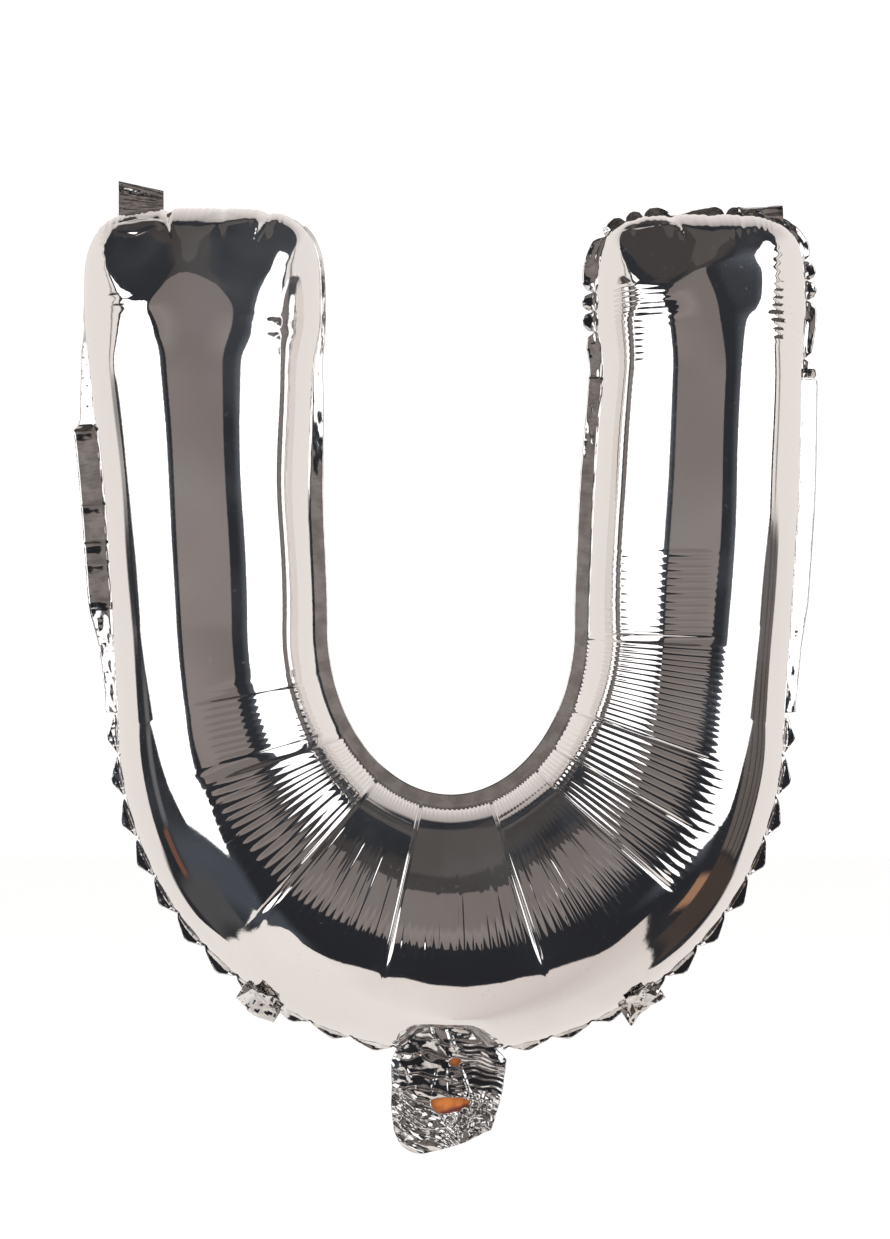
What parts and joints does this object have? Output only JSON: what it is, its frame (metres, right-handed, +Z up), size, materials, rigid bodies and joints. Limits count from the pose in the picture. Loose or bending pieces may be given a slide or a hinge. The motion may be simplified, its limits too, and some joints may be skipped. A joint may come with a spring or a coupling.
{
  "type": "letter foil balloon",
  "caption": "Air-filled silver foil balloon shaped as the letter U, with a crimped seam margin, hanging tabs and a filling tail with an orange valve.",
  "frame": {"origin": "middle of the letter in its seam plane: the centre of the bow's inner curve, midway between the legs. The balloon is held up by air or a hanging line, so this is its mount called air.", "axes": "+Z up the legs, +X to the right of someone who reads the letter, -Y towards the reader. The seam lies in the plane Y = 0."},
  "size_m": [0.2976, 0.0886, 0.3866],
  "materials": {
    "silver_foil": "mirror-bright silver foil, faintly warm, with fine scratches",
    "crumpled_foil": "the same foil, creased and crumpled",
    "valve_film": "thin glossy orange film"
  },
  "bodies": {
    "root": {"front_sheet": "silver_foil", "back_sheet": "silver_foil", "seam_margin": "crumpled_foil", "tail_front_film": "crumpled_foil", "tail_back_film": "crumpled_foil", "valve_front_film": "valve_film", "valve_back_film": "valve_film", "hang_tab_top_left": "crumpled_foil", "hang_tab_top_right": "crumpled_foil", "hang_tab_lower_left": "crumpled_foil", "hang_tab_lower_right": "crumpled_foil"}
  },
  "joints": []
}
